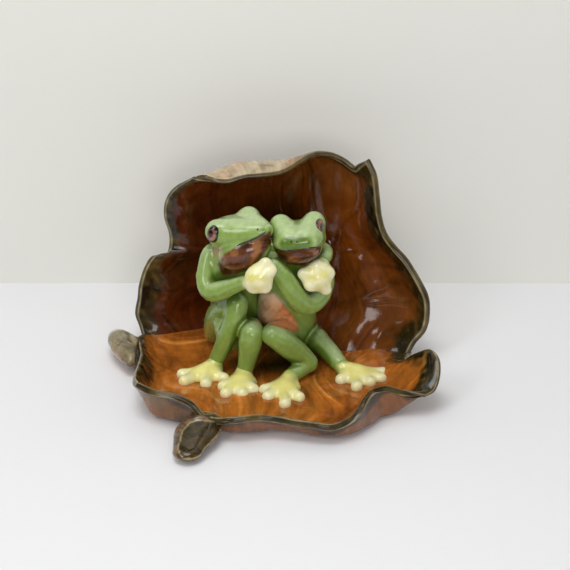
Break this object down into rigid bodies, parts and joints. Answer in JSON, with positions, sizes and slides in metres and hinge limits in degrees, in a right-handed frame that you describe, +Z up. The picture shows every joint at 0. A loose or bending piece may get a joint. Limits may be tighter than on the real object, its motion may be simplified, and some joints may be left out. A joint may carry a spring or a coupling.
{
  "type": "frog figurine",
  "caption": "Glazed ceramic ornament: green frogs hugging inside a folded brown autumn leaf with an upright hood and a short stalk.",
  "frame": {"origin": "middle of the flat ground foot under the leaf, on the table", "axes": "+Z up, the viewer stands at -Y, +X to the viewer's right"},
  "size_m": [0.1724, 0.1536, 0.1043],
  "materials": {
    "leaf_glaze": "glossy red-brown glaze, darker in the hollow, olive at the rims, over fired white clay",
    "stalk_glaze": "glossy olive-brown glaze",
    "frog_green_glaze": "glossy green glaze, paler on the raised parts",
    "frog_yellow_glaze": "glossy pale yellow glaze on feet and hands",
    "throat_glaze": "glossy mottled brown glaze under each mouth",
    "eye_glaze": "glossy black and pink underglaze paint"
  },
  "bodies": {
    "root": {"leaf_dish": "leaf_glaze", "leaf_hood": "leaf_glaze", "leaf_stalk": "stalk_glaze", "leaf_lobe": "stalk_glaze", "left_frog_torso": "frog_green_glaze", "right_frog_torso": "frog_green_glaze", "left_frog_head": "frog_green_glaze", "right_frog_head": "frog_green_glaze", "left_frog_outer_leg": "frog_green_glaze", "left_frog_inner_leg": "frog_green_glaze", "right_frog_inner_leg": "frog_green_glaze", "right_frog_outer_leg": "frog_green_glaze", "left_frog_outer_arm": "frog_green_glaze", "left_frog_inner_arm": "frog_green_glaze", "right_frog_outer_arm": "frog_green_glaze", "right_frog_inner_arm": "frog_green_glaze", "left_frog_outer_foot": "frog_yellow_glaze", "left_frog_inner_foot": "frog_yellow_glaze", "right_frog_inner_foot": "frog_yellow_glaze", "right_frog_outer_foot": "frog_yellow_glaze", "left_frog_outer_hand": "frog_yellow_glaze", "left_frog_inner_hand": "frog_yellow_glaze", "right_frog_inner_hand": "frog_yellow_glaze", "left_frog_jaw": "throat_glaze", "right_frog_jaw": "throat_glaze", "left_frog_near_eye": "eye_glaze", "left_frog_far_eye": "eye_glaze", "right_frog_far_eye": "eye_glaze", "right_frog_near_eye": "eye_glaze"}
  },
  "joints": []
}
